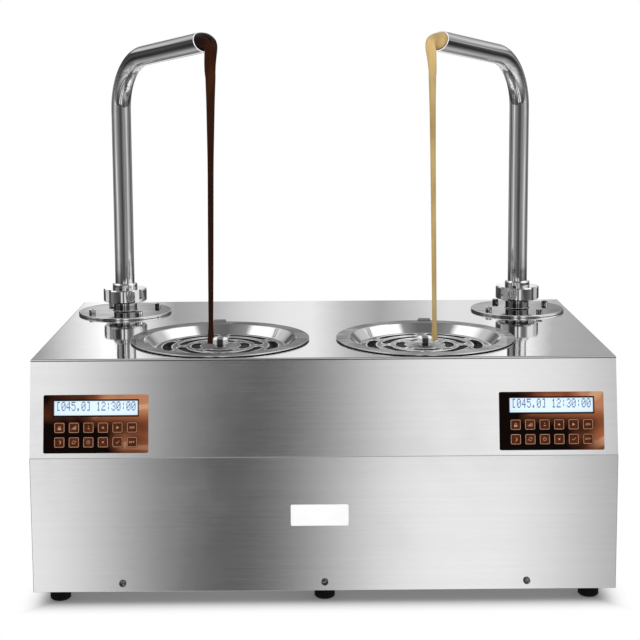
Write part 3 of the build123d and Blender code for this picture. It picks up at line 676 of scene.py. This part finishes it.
def roundedLoop(width, height, corner, inset=0.0, steps=48):
    # a rounded rectangle: an arc about each corner's middle, joined by straight runs, set in by inset
    angle = np.radians(np.linspace(0, 360, steps, endpoint=False) + 180 / steps)
    way = np.stack([np.cos(angle), np.sin(angle)], -1)
    return np.sign(way) * (np.array([width, height]) / 2 - corner) + (corner - inset) * way


def squareRing(size, corner, width):
    # a rounded square line: two loops, the second set in by the line's width, closed on their first points
    loop = np.stack([roundedLoop(size, size, corner), roundedLoop(size, size, corner, width)])
    return np.concatenate([loop, loop[:, :1]], 1)


keyMarks = {"line": 0.55, "size": 12.1, "corner": 1.6, "lift": 0.05}
keyIcons = {
    1: [ringPart(1.3, 0.5, 0, 180, (0, 0.6)), bar(-1.3, 0.7, -1.3, -0.2, 0.5), bar(1.3, 0.7, 1.3, -0.2, 0.5),
        bar(0, -0.2, 0, -2.6, 4.0)],
    2: [bar(-2.2, -2.2, -2.2, -0.6, 0.9), bar(-0.7, -2.2, -0.7, 0.6, 0.9), bar(0.8, -2.2, 0.8, 1.6, 0.9),
        bar(2.3, -2.2, 2.3, 2.4, 0.9)],
    3: [ringPart(0.65, 1.3, 180, 180, (0, -0.6)), wedge((0, 2.6), (-1.3, -0.6), (1.3, -0.6))],
    4: [wedge((0, 1.6), (-1.6, -1.0), (1.6, -1.0))],
    5: [wedge((2.0, 0), (-1.4, -1.9), (-1.4, 1.9))],
    6: [ringPart(1.1, 0.55, middle=(-1.7, 0)), bar(0.5, -1.35, 0.5, 1.35, 0.5), bar(2.5, -1.35, 2.5, 1.35, 0.5),
        bar(0.5, 1.2, 2.5, -1.2, 0.5)],
    7: [moon()],
    8: [ringPart(1.9, 0.5, 20, 130), ringPart(1.9, 0.5, 200, 130), wedge((2.5, -0.2), (1.0, 0.6), (2.7, 1.3)),
        wedge((-2.5, 0.2), (-1.0, -0.6), (-2.7, -1.3))],
    9: [ringPart(2.0, 0.45), bar(0, 0, 0, 1.3, 0.45), bar(0, 0, 0.9, 0, 0.45)],
    10: [wedge((0, -1.6), (-1.6, 1.0), (1.6, 1.0))],
    11: [bar(-2.0, -0.1, -0.6, -1.5, 0.6), bar(-0.6, -1.5, 2.1, 1.6, 0.6)],
    12: [ringPart(1.0, 0.5, middle=(-2.6, 0)), bar(-0.7, -1.25, -0.7, 1.25, 0.5), bar(-0.7, 1.0, 0.8, 1.0, 0.5),
         bar(-0.7, 0.0, 0.5, 0.0, 0.45), bar(1.8, -1.25, 1.8, 1.25, 0.5), bar(1.8, 1.0, 3.3, 1.0, 0.5),
         bar(1.8, 0.0, 3.0, 0.0, 0.45)],
}
keyFrame = squareRing(keyMarks["size"], keyMarks["corner"], keyMarks["line"])
for side in sides:
    for number, icon in keyIcons.items():
        row, column = divmod(number - 1, panelPlace["keyColumns"])
        u = (column - (panelPlace["keyColumns"] - 1) / 2) * panelPlace["keyPitch"]
        v = panelPlace["keyTopRow"] - row * panelPlace["keyPitch"]
        lift = panelPlace["keyFace"] + keyMarks["lift"]
        marks = [sheetOf(onPanel(mark + np.array([u, v]), side, lift)) for mark in [keyFrame] + icon]
        makePiece(f"{side}_key_{number}_mark", marks, keyInk, f"{side}_key_{number}", closed=False)
print("key marks made")

# Display characters: 5 x 7 dots, a generic reading and clock
readout = {"text": "[045.0] 12:30:00", "pitch": 6.2, "dot": (1.0, 1.62), "rise": 2.4, "lift": 0.06}
dotRows = {
    "0": "01110 10001 10011 10101 11001 10001 01110", "1": "00100 01100 00100 00100 00100 00100 01110",
    "2": "01110 10001 00001 00110 01000 10000 11111", "3": "01110 10001 00001 00110 00001 10001 01110",
    "4": "00010 00110 01010 10010 11111 00010 00010", "5": "11111 10000 11110 00001 00001 10001 01110",
    "[": "01110 01000 01000 01000 01000 01000 01110", "]": "01110 00010 00010 00010 00010 00010 01110",
    ":": "00000 00100 00100 00000 00100 00100 00000", ".": "00000 00000 00000 00000 00000 01100 01100",
    " ": "00000 00000 00000 00000 00000 00000 00000",
}


def dotPlaces():
    # middle of every dark dot of the line of text, about the window's middle
    lit = np.array([[[int(c) for c in row] for row in dotRows[letter].split()] for letter in readout["text"]])
    letter, row, column = np.nonzero(lit)
    u = (letter - (len(lit) - 1) / 2) * readout["pitch"] + (column - 2) * readout["dot"][0]
    v = readout["rise"] + (3 - row) * readout["dot"][1]
    return np.stack([u, v + panelPlace["windowRise"]], -1)


def dotSheet(side):
    # a rectangle of a dot's size about every dot's middle
    corners = np.array([[-1, -1], [1, -1], [1, 1], [-1, 1]]) * readout["dot"] / 2
    flat = (dotPlaces()[:, None, :] + corners).reshape(-1, 2)
    return onPanel(flat, side, panelPlace["displayFace"] + readout["lift"]), np.arange(len(flat)).reshape(-1, 4)


for side in sides:
    makePiece(f"{side}_readout", [dotSheet(side)], displayInk, "cabinet", closed=False)
print("display characters made")

# Bare white plate on the front panel; it glows slightly, painted light to look whiter
label = {"x": -6.0, "width": 72.0, "height": 27.0, "z": 115.5, "corner": 2.0, "thick": 0.5, "front": -222.5,
         "low": grey(0.96), "high": grey(0.90, 0.005), "rough": 0.4, "coat": 0.1, "paintedGlow": 0.14}


def labelRecipe(start):
    at = millimetres(start)
    return {
        "Base Color": start.noise(at, 0.12, 4).rise(0.3, 0.8).blend(label["low"], label["high"]),
        "Roughness": label["rough"],
        "Coat Weight": label["coat"],
        # painted light: the plate glows slightly
        "Emission Color": (1, 1, 1, 1),
        "Emission Strength": label["paintedGlow"],
        "Normal": start.bump(start.noise(at, 0.9, 2), 0.03, 0.0003),
    }


def labelSheet():
    # a rounded rectangle's edge goes straight out, turns in by a small bevel and closes on its middle
    outline = roundedLoop(label["width"], label["height"], label["corner"])
    size, depth = np.array([[1.0, 0.0], [1.0, 0.7], [0.994, 1.0], [0.0, 1.0]]).T[:, :, None]
    x, z = label["x"] + size * outline[:, 0], label["z"] + size * outline[:, 1]
    return sheetOf(np.stack([x, label["front"] - label["thick"] * depth + 0 * x, z], -1), wrapColumns=True)


makePiece("front_label_plate", [labelSheet()], makeLook("labelVinyl", labelRecipe), "cabinet", closed=False)

# Rolled lips round the slots of the drain grates, with painted light: the left lips are toned darker than the right;
# rings are (radius, slots, turn in degrees)
grate = {"top": 301.0, "rings": ((33.0, 4, 0), (52.0, 4, 45), (71.0, 6, 0)), "slot": 11.0, "bridge": 11.0,
         "lip": 2.4, "rise": 1.0, "bead": (-40, 180), "lipStain": 40,
         "lipTone": {"left": (0.38, 0.66), "right": (0.62, 0.95)}}


def lipRecipe(start, tone):
    recipe = polishedRecipe(start)
    # painted light: the tone differs between left and right
    recipe["Base Color"] = start.noise(start.place(), grate["lipStain"], 4, 0.6).rise(0.3, 0.7).greys(tone)
    return recipe


def slotLip(radius, count, turn, centre):
    # a half-round bead carried round an arc slot: two arcs of the ring and a half circle at each end
    half = math.pi / count - (grate["slot"] + grate["bridge"]) / 2 / radius
    w = grate["slot"] / 2
    arc, cap = np.linspace(-half, half, 28), np.linspace(0, np.pi, 12)[1:-1]
    outer = (radius + w) * np.stack([np.cos(arc), np.sin(arc)], -1)
    inner = (radius - w) * np.stack([np.cos(arc), np.sin(arc)], -1)[::-1]

    def endCap(at, sign):
        radial, tangent = np.array([math.cos(at), math.sin(at)]), np.array([-math.sin(at), math.cos(at)]) * sign
        return radius * radial + w * (np.cos(cap)[:, None] * radial + np.sin(cap)[:, None] * tangent)

    loop = np.concatenate([outer, endCap(half, 1), inner, endCap(-half, -1)[::-1]])
    along = np.roll(loop, -1, 0) - np.roll(loop, 1, 0)
    outward = np.stack([along[:, 1], -along[:, 0]], -1) / np.linalg.norm(along, axis=1)[:, None]
    bead = np.radians(np.linspace(*grate["bead"], 10))
    reach, rise = grate["lip"] / 2 * (1 - np.cos(bead)), grate["rise"] * np.sin(bead)
    flat = loop[:, None, :] + outward[:, None, :] * reach[None, :, None]
    c, s = math.cos(turn), math.sin(turn)
    x = centre[0] + c * flat[..., 0] - s * flat[..., 1]
    y = centre[1] + s * flat[..., 0] + c * flat[..., 1]
    return sheetOf(np.stack([x, y, grate["top"] + rise + 0 * x], -1), wrapRows=True)


for side, sign in sides.items():
    centre = (sign * middles["bowl"][0], middles["bowl"][1])
    lips = [slotLip(radius, count, math.radians(turn) + 2 * math.pi * k / count, centre)
            for radius, count, turn in grate["rings"] for k in range(count)]
    lipSteel = makeLook(f"{side}Lips", lipRecipe, grate["lipTone"][side])
    makePiece(f"{side}_grate_lips", lips, lipSteel, f"{side}_grate", closed=False, sharp=60)
print("grate lips and label plate made")

# Streams of chocolate: out of the mouth, over its lower lip and straight down to the grate
riser = {"reach": 225.0, "mouth": 702.0, "rise": math.radians(6)}
pour = {"inside": 14, "bendDrop": 46, "leaveRun": 18, "returnDrop": 40, "driftDrop": 350, "gap": 0.4, "steps": 32,
        "stops": (0, 9, 15, 21, 28, 40, 62, 100, 190, 340), "footStops": (7, 2, 0), "footGrowth": (1, 1.3, 1.9),
        "toneTop": 20, "swirlRun": (60, 60, 9), "rough": 0.24, "swirl": 0.1}
# Each stream's tones paint light and shade by height, and its colour inside the mouth is painted shade
streams = {
    "left": {
        "name": "dark_chocolate_stream", "push": 50.7, "throw": 19.0, "over": -6.7, "fall": 43.2, "lean": 8.8,
        "back": 0.0, "aside": 1.8, "held": 11.0, "drop": -1.06, "foot": 3.1,
        "sizes": (12.4, 12.4, 12.2, 11.4, 8.1, 8.5, 7.55, 5.8, 4.03, 3.63),
        "low": (0.022, 0.0056, 0.0020, 1), "high": (0.052, 0.0155, 0.0058, 1), "deep": (0.006, 0.006, 0.006, 1),
        "inside": (0.222, 0.242), "shine": 0.08,
        "tones": ((301, 1.1), (359, 1.1), (426, 0.85), (492, 0.70), (559, 0.65), (612, 0.82), (652, 1.35),
                  (678, 1.0), (697, 1.1), (703, 0.6), (707, 0.45), (713, 0.35)),
    },
    "right": {
        "name": "caramel_stream", "push": 44.5, "throw": 17.6, "over": -5.3, "fall": 51.1, "lean": 10.6,
        "back": 12.0, "aside": -4.0, "held": 11.0, "drop": 0.1, "foot": 3.0,
        "sizes": (12.4, 12.4, 12.3, 10.2, 6.4, 7.1, 5.53, 4.25, 3.57, 3.21),
        "low": (0.48, 0.32, 0.12, 1), "high": (0.66, 0.49, 0.22, 1), "deep": (0.40, 0.27, 0.11, 1),
        "inside": (0.214, 0.234), "shine": 0.2,
        "tones": ((301, 1.25), (359, 1.2), (426, 1.0), (492, 0.98), (559, 0.89), (612, 0.84), (652, 0.96),
                  (678, 1.22), (690, 1.28), (697, 1.26), (702, 1.1), (707, 0.78), (713, 0.60)),
    },
}


def headingOf(side):
    # level way from a riser to its bowl
    (bowlX, bowlY), (riserX, riserY) = middles["bowl"], middles["riser"]
    way = np.array([sides[side] * (bowlX - riserX), bowlY - riserY, 0.0])
    return way / np.linalg.norm(way)


def streamPath(stream):
    # a cubic curve from inside the mouth to the fall, then a line that leans back: (distance from the riser, height)
    t = np.linspace(0, 1, 48)[:, None]
    tilt, inside = riser["rise"], pour["inside"]
    a = np.array([riser["reach"] - inside, riser["mouth"] - stream["drop"] - inside * math.tan(tilt)])
    d = np.array([riser["reach"] + stream["throw"], riser["mouth"] - pour["bendDrop"]])
    b = a + stream["push"] * np.array([math.cos(tilt), math.sin(tilt)])
    c = d + np.array([stream["over"], stream["fall"]])
    bend = (1 - t) ** 3 * a + 3 * t * (1 - t) ** 2 * b + 3 * t ** 2 * (1 - t) * c + t ** 3 * d
    fall = np.linspace(d, (d[0] - stream["lean"], grate["top"] + pour["gap"]), 61)[1:]
    return np.concatenate([bend, fall])


def streamSheet(side, stream):
    # rings along the path, their radii smoothed over seven points, closed on a point at each end
    path, heading = streamPath(stream), headingOf(side)
    height = path[:, 1:]
    foot = np.array([sides[side] * middles["riser"][0], middles["riser"][1], 0.0])
    up, rear = np.array([0, 0, 1.0]), np.array([0, 1.0, 0])
    lateral = np.cross(up, heading)
    run = np.concatenate([[0], np.cumsum(np.linalg.norm(np.diff(path, axis=0), axis=1))])
    # it leans aside as 3t^2 - 2t^3 on leaving the mouth, comes back in the bend, and may drift to the rear in its fall
    out = np.clip((run - stream["held"]) / pour["leaveRun"], 0, 1)[:, None]
    stay = np.clip((height - riser["mouth"] + pour["returnDrop"]) / pour["returnDrop"], 0, 1)
    aside = stream["aside"] * out ** 2 * (3 - 2 * out) * stay
    back = stream["back"] * np.clip((riser["mouth"] - pour["bendDrop"] - height) / pour["driftDrop"], 0, 1)
    points = foot + path[:, :1] * heading + height * up + aside * lateral + back * rear
    stops = [*pour["stops"], *(run[-1] - rest for rest in pour["footStops"])]
    sizes = [*stream["sizes"], *(stream["foot"] * growth for growth in pour["footGrowth"])]
    radii = np.interp(run, stops, sizes)
    soft = np.convolve(np.pad(radii, 3, mode="edge"), np.ones(7) / 7, "valid")
    body = carried(points, soft, lateral, pour["steps"])
    first, last = (np.broadcast_to(points[i], (1, pour["steps"], 3)) for i in (0, -1))
    return sheetOf(np.concatenate([first, body, last]), wrapColumns=True)


def streamRecipe(start, stream):
    # tones are painted light and shade, going by height in millimetres; the colour inside the mouth is painted shade
    x, y, z = start.place().parts()
    swirl = start.noise(start.place(scale=pour["swirlRun"]), 1.0, 3, 0.5, 0.4)
    wayX, wayY = (abs(float(value)) for value in headingOf("right")[:2])
    reach = (middles["riser"][0] * mm - abs(x)) * wayX + (middles["riser"][1] * mm - y) * wayY
    inside = 1.0 - reach.rise(*stream["inside"])
    span = riser["mouth"] + pour["toneTop"] - grate["top"]
    stops = [((level - grate["top"]) / span, tone) for level, tone in stream["tones"]]
    tones = ((z / mm - grate["top"]) / span).ramp(*stops)
    flow = swirl.rise(0.3, 0.75).blend(stream["low"], stream["high"])
    flow = start.node("VectorMath", {"operation": "MULTIPLY"}, {0: flow, 1: tones})
    return {
        "Base Color": inside.blend(flow, stream["deep"]),
        "Roughness": pour["rough"] + swirl * pour["swirl"],
        "Specular IOR Level": stream["shine"],
        "Normal": start.bump(swirl, 0.08, 0.002),
    }


for side, stream in streams.items():
    look = makeLook(stream["name"].replace("_", ""), streamRecipe, stream)
    piece = makePiece(stream["name"], [streamSheet(side, stream)], look, f"{side}_spout", sharp=80)
    piece.visible_glossy = False  # the steel round it stays grey
    # the grate's lift and the stream's length are read but not used; the piece gets a mesh of its own
    lift = next(joint["range_m"][1] for joint in frame["joints"] if joint["name"] == f"{side}_grate_lift")
    length = (riser["mouth"] - grate["top"]) * mm
    1 - lift / length
    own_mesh(piece)
print("streams made")

# Camera, as fitted to the edges of the box, with the lens shifted down
view = {"place": (-14.24, -1916.1, 675.5), "pitch": 7.0, "yaw": 0.319, "roll": -0.321, "lens": 79.02, "sensor": 36.0,
        "shift": (0.00146, -0.1337), "clip": (0.05, 60.0)}
camera = bpy.data.objects.new("camera", bpy.data.cameras.new("camera"))
camera.data.lens, camera.data.sensor_width = view["lens"], view["sensor"]
camera.data.shift_x, camera.data.shift_y = view["shift"]
camera.data.clip_start, camera.data.clip_end = view["clip"]
camera.matrix_world = (Matrix.Translation(Vector(view["place"]) * mm)
                       @ Matrix.Rotation(math.radians(-view["yaw"]), 4, "Z")
                       @ Matrix.Rotation(math.radians(90 - view["pitch"]), 4, "X")
                       @ Matrix.Rotation(math.radians(view["roll"]), 4, "Z"))
scene.collection.objects.link(camera)
scene.camera = camera

# Studio: the world is white to the camera; metal sees a room with a dark horizon and soft bands.
# front, back, bands and horizon are (azimuth in degrees, level), back from the rear; overhead is (x, level) of the
# direction; the last pairs are where one part of the room gives way to the next, on the direction's x, y or z
room = {
    "fill": 0.68, "gain": 1.08, "ceiling": 0.62, "underDark": 0.75, "underTone": 0.02, "lean": 0.9 / 360,
    "front": [(-90, 0.55), (-78, 0.30), (-66, 0.62), (-55, 0.50), (-49, 0.16), (-44, 0.20), (-38, 0.52), (-30, 0.56),
              (-25, 0.12), (-20, 0.10), (-16, 0.6), (-13.5, 1.02), (-11.6, 1.02), (-9.6, 0.72), (-8.2, 0.50),
              (-6.8, 0.29), (-5.3, 0.13), (-4.2, 0.065), (-3.2, 0.05), (-2.2, 0.10), (-0.8, 0.22), (0.6, 0.42),
              (1.9, 0.69), (3.2, 0.90), (4.6, 0.98), (8.4, 0.97), (10.4, 0.82), (12, 0.48), (20, 0.2), (34, 0.6),
              (52, 0.9), (80, 0.7)],
    "back": [(-90, 0.55), (-76, 0.25), (-44, 0.62), (-30, 0.3), (-22, 0.12), (-14, 0.34), (-11.5, 0.32),
             (-10.7, 0.40), (-9.9, 0.70), (-9.2, 1.08), (-8.6, 1.15), (-7, 0.85), (-5.6, 0.36), (-4.6, 0.40),
             (-3, 0.66), (-1.2, 0.86), (0.2, 0.88), (0.9, 0.78), (1.8, 0.38), (3.3, 0.40), (4.4, 0.62), (5.2, 0.82),
             (7, 0.78), (8.5, 1.15), (9.3, 0.72), (10, 0.42), (14, 0.38), (22, 0.2), (32, 0.5), (46, 0.66),
             (76, 0.45), (90, 0.6)],
    "bands": [(-90, 0.22), (-76, 0.42), (-66, 0.16), (-56, 0.30), (-47, 0.05), (-24, 0.03), (-15, 0.3), (15, 0.25),
              (28, 0.16), (40, 0.22), (48, 0.5), (54, 0.95), (80, 0.98), (100, 0.9), (110, 0.4), (130, 0.22),
              (150, 0.14), (166, 0.3), (194, 0.2), (210, 0.08), (240, 0.04), (256, 0.12), (264, 0.3)],
    "horizon": [(-90, 0.22), (-83, 0.36), (-67, 0.78), (-55, 0.42), (-40, 0.22), (-30, 0.20), (-18, 0.12),
                (-6, 0.07), (6, 0.07), (17, 0.17), (30, 0.26), (40, 0.26), (55, 0.42), (67, 0.76), (83, 0.38),
                (94, 0.30), (101, 0.22), (108, 0.05), (114, 0.05), (121, 0.20), (131, 0.28), (150, 0.14), (180, 0.3),
                (210, 0.14), (229, 0.28), (239, 0.20), (246, 0.05), (252, 0.05), (259, 0.22), (266, 0.3)],
    "overhead": [(-0.95, 0.5), (-0.88, 0.10), (-0.79, 0.10), (-0.75, 1.0), (-0.62, 1.2), (-0.50, 1.3),
                 (-0.42, 0.30), (-0.1, 0.14), (0.12, 0.16), (0.34, 0.30), (0.42, 1.3), (0.68, 1.2), (0.75, 1.0),
                 (0.79, 0.1), (0.88, 0.1), (0.95, 0.5)],
    "leanZ": (-0.1, 0.1), "backY": (-0.4, 0.4), "besideX": (0.235, 0.285), "besideLow": (-0.05, 0.05),
    "besideHigh": (0.24, 0.34), "asideX": (0.25, 0.45), "underZ": (-0.153, -0.138), "ceilingY": (0.10, 0.34),
    "nearZ": (-0.250, -0.214), "asideZ": (-0.85, -0.25), "lowTop": (0.03, 0.09), "overheadZ": (0.35, 0.55),
}


def roundRamp(turn, stops):
    # levels by azimuth, where 0 degrees is in front of the object
    return turn.ramp(*[(0.25 + azimuth / 360, level) for azimuth, level in stops])


def makeRoom():
    world = bpy.data.worlds.new("studio")
    scene.world = world
    world.use_nodes = True
    world.cycles.sampling_method = "NONE"  # smooth all round, so it needs no light sampling
    world.node_tree.nodes.clear()
    start = Tap(world.node_tree)
    x, y, z = start.node("TexCoord", output="Generated").parts()
    turn = start.math("ARCTAN2", y, x) / (2 * math.pi) + 0.5
    ahead = roundRamp(turn - z.rise(*room["leanZ"]) * room["lean"], room["front"])
    behind = roundRamp(turn, [(180 - azimuth, level) for azimuth, level in reversed(room["back"])])
    bright = y.rise(*room["backY"]).blend(ahead, behind)
    beside = abs(x).rise(*room["besideX"]) * z.rise(*room["besideLow"]) * (1.0 - z.rise(*room["besideHigh"]))
    bright = beside.blend(bright, roundRamp(turn, room["bands"]))
    aside = abs(x).rise(*room["asideX"])
    under = (1.0 - z.rise(*room["underZ"])) * aside * room["underDark"]
    horizon = under.blend(roundRamp(turn, room["horizon"]), grey(room["underTone"]))
    overhead = (x * 0.5 + 0.5).ramp(*[(0.5 + 0.5 * across, level) for across, level in room["overhead"]])
    overhead = (y ** 2).rise(*room["ceilingY"]).blend(overhead, grey(room["ceiling"]))
    near = z.rise(*room["nearZ"])
    low = (near + aside * (z.rise(*room["asideZ"]) - near)) * (1.0 - z.rise(*room["lowTop"]))
    seen = z.rise(*room["overheadZ"]).blend(low.blend(bright, horizon), overhead)
    seen = start.node("VectorMath", {"operation": "SCALE"}, {0: seen, 3: room["gain"]})
    ray, glossy = (start.node("LightPath", output=f"Is {kind} Ray") for kind in ("Camera", "Glossy"))
    colour = ray.blend(glossy.blend(grey(room["fill"]), seen), (1, 1, 1, 1))
    start.node("OutputWorld", {}, {"Surface": start.node("Background", {}, {"Color": colour, "Strength": 1.0})})


makeRoom()

# Floor: pale, with a painted shadow, a darker tone under and close round the object, and white to the camera beyond
floor = {"half": 6.0, "tone": 0.80, "shade": 0.34, "lift": 0.11, "footprint": (0.365, 0.2225),
         "fade": ((-0.024, 0.024), (-0.016, 0.036)), "fibreScale": 60, "fibre": 0.01}


def makeFloor():
    mesh = bpy.data.meshes.new("floor")
    h = floor["half"]
    mesh.from_pydata([(-h, -h, 0), (h, -h, 0), (h, h, 0), (-h, h, 0)], [], [(0, 1, 2, 3)])
    piece = bpy.data.objects.new("floor", mesh)
    scene.collection.objects.link(piece)
    piece.visible_glossy = False  # metal sees the room through it
    look = bpy.data.materials.new("floorPaper")
    look.use_nodes = True
    look.node_tree.nodes.clear()
    start = Tap(look.node_tree)
    limits = zip(start.place().parts(), floor["footprint"], floor["fade"])
    clear = start.math("MAXIMUM", *[(abs(way) - half).rise(*fade) for way, half, fade in limits])
    fibre = start.noise(start.place(), floor["fibreScale"], 3) * floor["fibre"]
    ray = start.node("LightPath", output="Is Camera Ray")
    # painted shadow: the tone is darker under and close round the object
    tone = fibre + floor["shade"] + clear * (floor["tone"] - floor["shade"])
    paper = start.node("BsdfDiffuse", {}, {"Color": tone})
    glow = start.node("Emission", {}, {"Color": (1, 1, 1, 1), "Strength": ray * floor["lift"]})
    near = start.node("AddShader", {}, {0: paper, 1: glow})
    far = start.node("Emission", {}, {"Color": (1, 1, 1, 1), "Strength": 1.0})
    start.node("OutputMaterial", {}, {"Surface": start.node("MixShader", {}, {0: clear * ray, 1: near, 2: far})})
    mesh.materials.append(look)


makeFloor()

# Softboxes, which metal doesn't see
lamps = {
    "keySoftbox": {"place": (-1.3, -1.4, 2.3), "size": 1.6, "power": 22.0},
    "fillSoftbox": {"place": (1.6, -1.0, 1.9), "size": 1.6, "power": 12.0},
    "topSoftbox": {"place": (0.0, 0.4, 2.4), "size": 1.8, "power": 16.0},
}
aim = Vector((0, 0, 0.2))
for name, lamp in lamps.items():
    light = bpy.data.lights.new(name, "AREA")
    light.shape, light.size, light.energy = "SQUARE", lamp["size"], lamp["power"]
    placed = bpy.data.objects.new(name, light)
    placed.location = lamp["place"]
    placed.rotation_euler = (aim - Vector(lamp["place"])).to_track_quat("-Z", "Y").to_euler()
    placed.visible_glossy = False
    scene.collection.objects.link(placed)
print("camera, room and lamps set")
